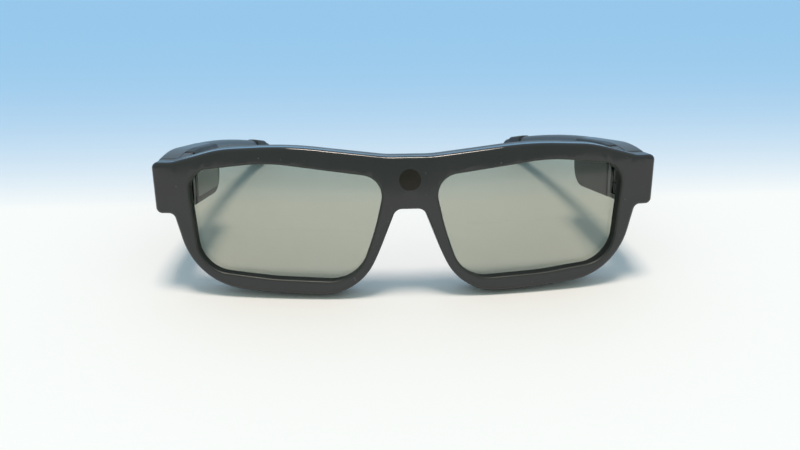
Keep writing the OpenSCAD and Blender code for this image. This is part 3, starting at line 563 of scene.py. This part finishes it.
def makeBezel():
    bm = bmesh.new()
    seam = front["seam"]
    outer = [frontLoop(bm, inset, d) for inset, d in rounding(front["edge"], front["edgeSteps"])]
    outer.append(frontLoop(bm, 0, lambda x: jointDepth(x) - seam))
    outer.append(frontLoop(bm, seam, jointDepth))
    bridge(bm, outer)
    faces, backs = [outer[0]], [outer[-1]]
    for side in (-1, 1):
        mouth = [lensLoop(bm, side, grow, depth=d) for grow, d in rounding(lens["lip"], lens["lipSteps"])]
        mouth.append(lensLoop(bm, side, 0, back=0))
        *lip, wall = bridge(bm, mouth)
        for band in lip:
            for face in band:
                face.material_index = bezelCoats.index(lipSatin)
        # the wall faces take the darker coat: painted shade inside each lens opening
        for face in wall:
            face.material_index = bezelCoats.index(mouthShadeMatte)
        faces.append(mouth[0])
        backs.append(mouth[-1])
    hole = window["radius"] + window["gap"]
    rings = [
        (hole + window["chamfer"], 0), (hole, window["chamfer"]), (hole, window["sink"] + window["thick"]),
    ]
    well = []
    for radius, depth in rings:
        spot = Matrix.Translation((0, depth, window["z"])) @ Matrix.Rotation(math.pi / 2, 4, "X")
        ring = bmesh.ops.create_circle(bm, segments=window["segments"], radius=radius, matrix=spot)
        well.append(ring["verts"])
    bridge(bm, well)
    cap(bm, well[-1])
    cap(bm, *faces, well[0])
    cap(bm, *backs)
    return sweepFront(bm)


def makeRearFrame():
    bm = bmesh.new()
    seam, back = front["seam"], front["depth"]
    outer = [frontLoop(bm, seam, jointDepth), frontLoop(bm, 0, lambda x: jointDepth(x) + seam)]
    rounds = rounding(front["edge"], front["edgeSteps"])
    outer += [frontLoop(bm, inset, back - d) for inset, d in reversed(rounds)]
    bridge(bm, outer)
    joints, backs = [outer[0]], [outer[-1]]
    for side in (-1, 1):
        eye = [
            lensLoop(bm, side, lens["eyeSide"] + grow, depth=back - d)
            for grow, d in rounding(lens["eyeLip"], lens["lipSteps"])
        ]
        eye.append(lensLoop(bm, side, lens["seat"], back=lens["stack"]))
        eye.append(lensLoop(bm, side, lens["pocket"], back=lens["stack"]))
        eye.append(lensLoop(bm, side, lens["pocket"], back=0))
        bridge(bm, eye)
        backs.append(eye[0])
        joints.append(eye[-1])
    cap(bm, *backs)
    cap(bm, *joints)
    return sweepFront(bm)


hinge = {
    "x": 75.4, "y": 20.2645, "half": 1.5, "round": 1.8, "root": 14.06, "rootRound": 0.3, "rootSteps": 3,
    "edge": 0.2, "bore": 0.61, "boreSpan": (28, 43), "pinBore": 0.65, "pinSpan": (30, 41),
    "lugs": [(29.4, 33.0), (37.8, 41.4)], "knuckle": (33.2, 37.6), "knuckleRoot": 1.6, "gap": 0.3,
    "roomIn": 12, "roomFront": -2, "roomRound": 0.05,
}
noseRest = {"radius": 0.95, "in": 1.0, "spots": [(0.19, -0.75), (0.42, 1.65), (0.65, -0.75)], "fineness": 4}
screw = {"spots": [(0, 32.2), (79.6, 35.85), (-79.6, 35.85)], "head": 1.4, "headFrom": 6.9, "headTo": 12}
pinPlace = Matrix.Translation((hinge["x"], hinge["y"], 0))


def makeNoseRest():
    # one smooth ridge: the hull of three small balls along the nose line
    bm = bmesh.new()
    arch, toe = Vector(front["foot"][0][:2]), Vector(front["foot"][2][:2])
    line = toe - arch
    inward = Vector((-line.y, line.x)).normalized() * noseRest["in"]
    for share, rise in noseRest["spots"]:
        spot = arch + line * share + inward
        bmesh.ops.create_icosphere(
            bm, subdivisions=noseRest["fineness"], radius=noseRest["radius"],
            matrix=Matrix.Translation((spot.x, faceY(spot.x) + front["depth"] + rise, spot.y)),
        )
    bmesh.ops.delete(bm, geom=bm.edges[:], context="EDGES_FACES")
    bmesh.ops.convex_hull(bm, input=bm.verts[:])
    bmesh.ops.delete(bm, geom=[v for v in bm.verts if not v.link_faces], context="VERTS")
    return bm


def makeBarrel(y0, y1, low, high):
    # lug or knuckle: a straight root and a round barrel, joined
    h = hinge
    corners = box4(h["x"] - h["half"], y0, h["x"] + h["half"], y1, h["rootRound"])
    root = newPiece("hingeRoot", prism(corners, low, high, h["edge"], h["rootSteps"]))
    barrel = rod(h["round"], low, high, edge=h["edge"])
    bmesh.ops.rotate(barrel, verts=barrel.verts[:], matrix=upright.to_3x3())
    bmesh.ops.translate(barrel, verts=barrel.verts[:], vec=(h["x"], 0, h["y"]))
    carve(root, barrel, "UNION")
    bm = bmesh.new()
    bm.from_mesh(root.data)
    bpy.data.objects.remove(root)
    return bm


bezel = newPiece("frontBezel", makeBezel())
rearFrame = newPiece("rearFrame", makeRearFrame())
extras, holes = [], []
for flip in mirrorSide.values():
    extras.append((makeNoseRest(), flip))
    for low, high in hinge["lugs"]:
        lug = makeBarrel(hinge["root"], hinge["y"], low, high)
        extras.append((lug, flip @ upright))
    holes.append((rod(hinge["bore"], *hinge["boreSpan"]), flip @ pinPlace))
for x, z in screw["spots"]:
    aim = Matrix.Translation((x, faceY(x), z)) @ rearward
    holes.append((rod(screw["head"], screw["headFrom"], screw["headTo"]), aim))
carve(rearFrame, gather(*extras), "UNION")
carve(rearFrame, gather(*holes))
still = Matrix.Identity(4)
place(bezel, still, "front", "front_gloss", bezelCoats, "front_bezel")
place(rearFrame, still, "front", "frame_plastic", frameSatin, "rear_frame")

disc = rod(window["radius"], 0, window["thick"], window["segments"], window["edge"])
aim = Matrix.Translation((0, window["sink"], window["z"])) @ rearward
place(newPiece("sensorWindow", disc), aim, "front", "window_tint", windowTint, "sensor_window")

for side, flip in mirrorSide.items():
    lap, near, far, edge = lens["lap"], lens["gasket"], lens["stack"], lens["edge"]
    steps = [(lap - edge, near), (lap, near + edge), (lap, far - edge), (lap - edge, far)]
    bm = bmesh.new()
    glass = newPiece(side + "ShutterLens", loft(bm, [flatLensLoop(bm, grow, depth) for grow, depth in steps]))
    aim = flip @ Matrix.Translation((lens["middle"], lens["jointY"], 0)) @ Matrix.Rotation(lens["tilt"], 4, "Z")
    place(
        glass, aim, "front", "lens_glass", shutterGlass,
        side + "_lc_cell", side + "_front_polariser", side + "_rear_polariser", sharp=25, weighted=False,
    )
    bm = bmesh.new()
    outer = [flatLensLoop(bm, lap, depth) for depth in (0, near)]
    inner = [flatLensLoop(bm, lens["gasketIn"], depth) for depth in (0, near)]
    for pair in (outer, inner):
        bridge(bm, pair)
    for a, b in zip(outer, inner):
        cap(bm, a, b)
    gasket = newPiece(side + "LensGasket", bm)
    place(gasket, aim, "front", "gasket_rubber", gasketRubber, side + "_lens_gasket")
print("front built")


# Temples, in their own line: x outward from the outer side, y back from the front end

temple = {
    "x": 83.9, "y": 18.1645, "toeIn": 5.9, "droop": 2.2, "top": 46.7, "foot": 27, "length": 41.2, "thick": 10.4,
    "shell": 7.2, "crown": 2.4, "crownLength": 18, "crownRound": 40, "planRadius": 415, "sideRadius": 640,
    "heel": 8, "heelTurn": 75, "heelSteps": 12, "frontRound": 0.6, "frontSteps": 5, "edge": 1.6,
    "parting": 0.3, "throat": 1.4, "wall": 1.5, "block": 3, "blockRound": 1.2, "blockLap": 1, "blockSteps": 5,
    "coverEdge": 1.1, "coverEnd": 40.4, "coverCorner": 2.5, "coverSteps": 6, "coverArcSteps": 10, "seam": 0.1,
    "stations": (3, 5, 7, 9, 11, 13, 16, 20, 25, 30), "armSteps": 44, "arcSteps": 6,
}
templeLine = (
    Matrix.Translation((temple["x"], temple["y"], 0)) @ Matrix.Rotation(math.radians(temple["toeIn"]), 4, "Z")
)
wornToTemple = templeLine.inverted()
pinSpot = wornToTemple @ Vector((hinge["x"], hinge["y"], 0))
hingeRoom = pinSpot.y + hinge["round"] + hinge["gap"]
outerWall = -pinSpot.x - hinge["round"] - hinge["gap"]
coverStart = hingeRoom + temple["block"]
arm = {"thick": 5.2, "high": 8.2, "edge": 2.2, "end": 107.5}
earTip = {
    "thick": 4.8, "high": 7.6, "collar": 12, "collarShares": (0.25, 0.5, 0.75), "proud": 0.5, "edge": 0.6,
    "edgeSteps": 4, "slope": 0.8, "slopeCut": 0.4, "end": 127.5, "endTurn": 84, "blunt": 0.35,
    "roundSpare": 0.05, "steps": 12, "roundSteps": 10,
}
room = {
    "start": coverStart + temple["wall"], "end": 38.2, "foot": 28.5, "top": 43.22, "round": 1, "heel": 6.5,
    "coverLip": 0.5, "overcut": 1,
}
under = {
    "x": -5.1, "cut": (25, 30), "pillSpare": 0.01, "ledY": room["start"] + 1.4, "ledRadius": 0.95,
    "socketY": 29.45, "socketLong": 7.6, "socketWide": 2.7, "socketRound": 0.05,
    "buttonY": room["start"] + 7.2, "buttonLong": 7, "buttonWide": 2.6, "buttonGap": 0.15, "buttonOut": 0.6,
    "buttonTop": 29.7, "stemIn": 0.3, "stemEdge": 0.3, "flangeFrom": 0.05, "flangeEnd": 0.6, "flangeSide": 0.3,
}


def armIn(s):
    return max(s - temple["length"], 0) ** 2 / (2 * temple["planRadius"])


def armTop(s):
    top = temple["top"] - s * math.tan(math.radians(temple["droop"]))
    top -= temple["crown"] * max(1 - s / temple["crownLength"], 0) ** 2
    return top - max(s - temple["length"], 0) ** 2 / (2 * temple["sideRadius"])


def sectionLoop(bm, s, inner, outer, foot, top, innerRound, outerRound):
    corners = [
        (inner, foot, innerRound), (outer, foot, outerRound), (outer, top, outerRound), (inner, top, innerRound)
    ]
    loop = outlineLoop(bm, corners, 0, s, temple["arcSteps"])
    for v in loop:
        v.co.x -= armIn(s)
    return loop


def makeShell():
    bm = bmesh.new()
    t = temple
    stations = [(s, t["foot"] + inset, inset) for inset, s in rounding(t["frontRound"], t["frontSteps"])]
    stations += [(s, t["foot"], 0) for s in t["stations"]]
    for i in range(t["heelSteps"]):
        a = math.radians(t["heelTurn"]) * i / (t["heelSteps"] - 1)
        s = t["length"] - t["heel"] * (1 - math.sin(a))
        stations.append((s, t["foot"] + t["heel"] * (1 - math.cos(a)), 0))
    loops = [
        sectionLoop(bm, s, -t["shell"], 0, foot, armTop(s) - inset, t["parting"], t["edge"])
        for s, foot, inset in stations
    ]
    first = t["length"] + t["throat"]
    for i in range(t["armSteps"] + 1):
        s = first + (arm["end"] - first) * i / t["armSteps"]
        top = armTop(s)
        loops.append(sectionLoop(bm, s, -arm["thick"], 0, top - arm["high"], top, arm["edge"], arm["edge"]))
    return loft(bm, loops)


def roomCorners(end):
    r = room
    return [
        (r["start"], r["foot"], r["round"]), (end, r["foot"], r["heel"]),
        (end, r["top"], r["round"]), (r["start"], r["top"], r["round"]),
    ]


def makeBlock():
    # inner half of the housing's front end, around the hinge
    bm = bmesh.new()
    t = temple
    foot, back, r = t["foot"] + t["seam"], coverStart - t["seam"], t["blockRound"]
    corners = [
        (0, foot, r), (back, foot, r), (back, armTop(back) - t["seam"], r), (0, armTop(0) - t["seam"], r)
    ]
    loops = [outlineLoop(bm, corners, 0, -t["shell"] + t["blockLap"], t["blockSteps"])]
    for rise, inset in rounding(t["coverEdge"], t["blockSteps"]):
        loops.append(outlineLoop(bm, corners, inset, -t["thick"] + rise, t["blockSteps"]))
    return loft(bm, loops)


def makeCover():
    bm = bmesh.new()
    t = temple
    corners = [
        (coverStart, t["foot"], t["blockRound"]), (t["coverEnd"], t["foot"], t["heel"]),
        (t["coverEnd"], armTop(t["coverEnd"]), t["coverCorner"]),
        (t["crownLength"], armTop(t["crownLength"]), t["crownRound"]),
        (coverStart, armTop(coverStart), t["blockRound"]),
    ]
    levels = [(t["seam"], -t["shell"]), (0, -t["shell"] - t["seam"])]
    levels += [(inset, -t["thick"] + rise) for rise, inset in rounding(t["coverEdge"], t["coverSteps"])]
    return loft(bm, [outlineLoop(bm, corners, inset, x, t["coverArcSteps"]) for inset, x in levels])


def makeEarTip():
    bm = bmesh.new()
    e = earTip
    wide, high = arm["thick"] + 2 * e["proud"], arm["high"] + 2 * e["proud"]
    slim, roundFrom = arm["end"] + e["collar"], e["end"] - e["high"] / 2
    sections = [
        (arm["end"] + along, wide - 2 * cut, high - 2 * cut) for cut, along in rounding(e["edge"], e["edgeSteps"])
    ]
    sections += [(arm["end"] + e["collar"] * k, wide, high) for k in e["collarShares"]]
    sections += [
        (slim - e["slope"], wide, high),
        (slim - e["slope"] / 2, wide - e["slopeCut"], high - e["slopeCut"]),
        (slim, arm["thick"], arm["high"]),
    ]
    for i in range(1, e["steps"] + 1):
        k = i / e["steps"]
        sections.append((
            slim + (roundFrom - slim) * k,
            arm["thick"] + (e["thick"] - arm["thick"]) * k,
            arm["high"] + (e["high"] - arm["high"]) * k,
        ))
    for i in range(1, e["roundSteps"] + 1):
        a = math.radians(e["endTurn"]) * i / e["roundSteps"]
        sections.append((
            roundFrom + e["high"] / 2 * math.sin(a),
            e["thick"] * (e["blunt"] + (1 - e["blunt"]) * math.cos(a)),
            e["high"] * math.cos(a),
        ))
    loops = []
    for s, w, h in sections:
        r = min(arm["edge"], min(w, h) / 2 - e["roundSpare"])
        x, z = -arm["thick"] / 2, armTop(s) - arm["high"] / 2
        loops.append(sectionLoop(bm, s, x - w / 2, x + w / 2, z - h / 2, z + h / 2, r, r))
    return loft(bm, loops)


def underBox(y, long, wide, r):
    x = under["x"]
    return box4(x - wide / 2, y - long / 2, x + wide / 2, y + long / 2, r)


def buttonPill(end, side):
    # the button's outline, longer by end at each end and wider by side at each side
    long, wide = under["buttonLong"] + 2 * end, under["buttonWide"] + 2 * side
    return underBox(under["buttonY"], long, wide, wide / 2 - under["pillSpare"])


u = under
for side, flip in mirrorSide.items():
    body = side + "_temple"
    shell = newPiece(side + "TempleShell", makeShell())
    carve(shell, gather((makeBlock(), sideways)), "UNION")
    low, high = hinge["lugs"][0][0] - hinge["gap"], hinge["lugs"][1][1] + hinge["gap"]
    roomPlan = box4(-hinge["roomIn"], low, -outerWall, high, hinge["roomRound"])
    carve(shell, prism(roomPlan, hinge["roomFront"], hingeRoom, steps=1))
    hollow = prism(roomCorners(room["end"]), -temple["shell"] - room["overcut"], -temple["wall"])
    carve(shell, gather((hollow, sideways)))
    knuckleEnd = hinge["y"] + hinge["round"] + hinge["gap"] + hinge["knuckleRoot"]
    knuckle = makeBarrel(hinge["y"], knuckleEnd, *hinge["knuckle"])
    carve(shell, gather((knuckle, wornToTemple @ upright)), "UNION")
    cuts = [(rod(hinge["pinBore"], *hinge["pinSpan"]), wornToTemple @ pinPlace)]
    if side == "left":
        socket = underBox(u["socketY"], u["socketLong"], u["socketWide"], u["socketRound"])
        cuts.append((prism(buttonPill(u["buttonGap"], u["buttonGap"]), *u["cut"]), upright))
        cuts.append((prism(socket, *u["cut"], steps=1), upright))
        cuts.append((rod(u["ledRadius"], *u["cut"]), Matrix.Translation((u["x"], u["ledY"], 0))))
    carve(shell, gather(*cuts))
    aim = flip @ templeLine
    place(shell, aim, body, "temple_plastic", templeSatin, side + "_temple_shell")

    cover = newPiece(side + "TempleCover", gather((makeCover(), sideways)))
    hollow = prism(roomCorners(room["end"] - room["coverLip"]), -temple["thick"] + temple["wall"], 0)
    carve(cover, gather((hollow, sideways)))
    # the cover takes the darker copy of the temple plastic: painted shade on the housing's inner side
    place(cover, aim, body, "temple_plastic", coverShadeSatin, side + "_temple_cover")

    tip = newPiece(side + "EarTip", makeEarTip())
    place(tip, aim, body, "tip_rubber", tipRubber, side + "_ear_tip", sharp=50, weighted=False)

stem = prism(buttonPill(0, 0), temple["foot"] - u["buttonOut"], room["foot"] + u["stemIn"], u["stemEdge"])
flange = prism(buttonPill(u["flangeEnd"], u["flangeSide"]), room["foot"] + u["flangeFrom"], u["buttonTop"])
button = newPiece("powerButton", gather((stem, upright)))
carve(button, gather((flange, upright)), "UNION")
place(button, templeLine, "power_button", "button_plastic", buttonPlastic, "power_button")
print("temples built")


# CAD pieces that keep their shape get their finish here

kept = {
    "photodiode": chipBlack, "sensor_board": boardGreen, "frame_screws": pinSteel, "battery_cell": batteryFoil,
    "battery_pad": padFoam, "blank_label": labelPaper, "main_board": boardGreen, "board_chips": chipBlack,
    "charge_socket": pinSteel, "tact_switch": chipBlack, "status_led": ledClear, "switch_plunger": plungerRed,
}
for side in mirrorSide:
    kept[side + "_flex"] = flexAmber
    kept[side + "_hinge_pin"] = pinSteel
    kept[side + "_temple_flex"] = flexAmber
for name, material in kept.items():
    nodes[name].data.materials.clear()
    nodes[name].data.materials.append(material)
print("finishes on kept nodes:", len(kept))


# Table, light and camera, in metres on the table

table = {
    "half": 4.0, "near": (0.95, 0.93, 0.92), "far": (0.29, 0.535, 0.79), "fadeFrom": 0.01, "fadeLength": 0.088,
    "rough": 0.6, "shine": 0.2,
}
bm = bmesh.new()
bmesh.ops.create_grid(bm, x_segments=2, y_segments=2, size=table["half"])
tableTop = newPiece("tableTop", bm)
tableFinish, tree, shader, where = startMaterial("tableFinish")
split = addNode(tree, "ShaderNodeSeparateXYZ", {0: where})
beyond = addNode(tree, "ShaderNodeMath", {0: split.outputs["Y"], 1: table["fadeFrom"]}, operation="SUBTRACT")
beyond = addNode(tree, "ShaderNodeMath", {0: beyond.outputs["Value"], 1: 0.0}, operation="MAXIMUM")
share = addNode(
    tree, "ShaderNodeMath", {0: beyond.outputs["Value"], 1: -table["fadeLength"]}, operation="DIVIDE"
)
fade = addNode(tree, "ShaderNodeMath", {0: share.outputs["Value"]}, operation="EXPONENT")
tone = mixColours(tree, fade.outputs["Value"], table["far"], table["near"])
tree.links.new(tone, shader.inputs["Base Color"])
shader.inputs["Roughness"].default_value = table["rough"]
shader.inputs["Specular IOR Level"].default_value = table["shine"]
tableTop.data.materials.append(tableFinish)

# room: grey-green behind the camera, pale blue beyond the glasses
roomLight = {
    "dim": (0.4, 0.49, 0.45), "pale": (0.43, 0.6, 0.75), "bench": (0.98, 0.96, 0.95), "turn": 0.35,
    "benchTop": 0.04, "benchAhead": -0.4, "soften": 0.014,
}
world = bpy.data.worlds.new("roomLight")
bpy.context.scene.world = world
world.use_nodes = True
tree = world.node_tree
tree.nodes.clear()
toward = tree.nodes.new("ShaderNodeTexCoord")
split = addNode(tree, "ShaderNodeSeparateXYZ", {0: toward.outputs["Generated"]})
turn = ramp(tree, split.outputs["Y"], -roomLight["turn"], roomLight["turn"])
tone = mixColours(tree, turn, roomLight["dim"], roomLight["pale"])
# a white bench across the room, just above the table's edge, shows in the lower half of the gloss
lowDown = ramp(tree, split.outputs["Z"], roomLight["benchTop"] + roomLight["soften"], roomLight["benchTop"])
ahead = ramp(tree, split.outputs["Y"], 0.0, roomLight["benchAhead"])
bench = addNode(tree, "ShaderNodeMath", {0: lowDown, 1: ahead}, operation="MULTIPLY")
lit = mixColours(tree, bench.outputs["Value"], tone, roomLight["bench"])
glow = addNode(tree, "ShaderNodeBackground", {"Color": lit, "Strength": 1.0})
out = tree.nodes.new("ShaderNodeOutputWorld")
tree.links.new(glow.outputs["Background"], out.inputs["Surface"])

# ceiling light: almost straight above, soft, a little warm
ceiling = {"strength": 1.9, "spread": 17, "colour": (1.0, 0.88, 0.78), "from": (0.0, 0.03, 1.0)}
lamp = bpy.data.lights.new("ceilingLight", "SUN")
lamp.energy = ceiling["strength"]
lamp.angle = math.radians(ceiling["spread"])
lamp.color = ceiling["colour"]
holder = bpy.data.objects.new("ceilingLight", lamp)
holder.rotation_euler = (-Vector(ceiling["from"])).to_track_quat("-Z", "Y").to_euler()
bpy.context.scene.collection.objects.link(holder)

# camera: spot in worn millimetres, its turns fitted to the photograph
view = {
    "pitch": 12.0, "yaw": 3.62, "roll": -0.49, "spot": (-19.52, -254.63, 77.78), "focal": 36.0, "sensor": 36.0,
    "clipStart": 0.01,
}
pitch, yaw, roll = (math.radians(view[k]) for k in ("pitch", "yaw", "roll"))
forward = Vector((0, math.cos(pitch), -math.sin(pitch)))
right = Vector((1, 0, 0))
up = right.cross(forward)
rows = [right * math.cos(roll) + up * math.sin(roll), up * math.cos(roll) - right * math.sin(roll), forward]
swing = Matrix.Rotation(-yaw, 3, "Z")
lay = Matrix.Rotation(-stand["lean"], 3, "X")
axes = [lay @ (swing @ row) for row in rows]
camera = bpy.data.objects.new("photoView", bpy.data.cameras.new("photoView"))
camera.data.lens = view["focal"]
camera.data.sensor_width = view["sensor"]
camera.data.clip_start = view["clipStart"]
spot = wornToTable @ Vector(view["spot"])
turned = Matrix((axes[0], axes[1], -axes[2])).transposed().to_4x4()
camera.matrix_world = Matrix.Translation(spot) @ turned
bpy.context.scene.collection.objects.link(camera)
bpy.context.scene.camera = camera
bpy.context.scene.view_settings.view_transform = "Standard"
print("table, light and camera set")
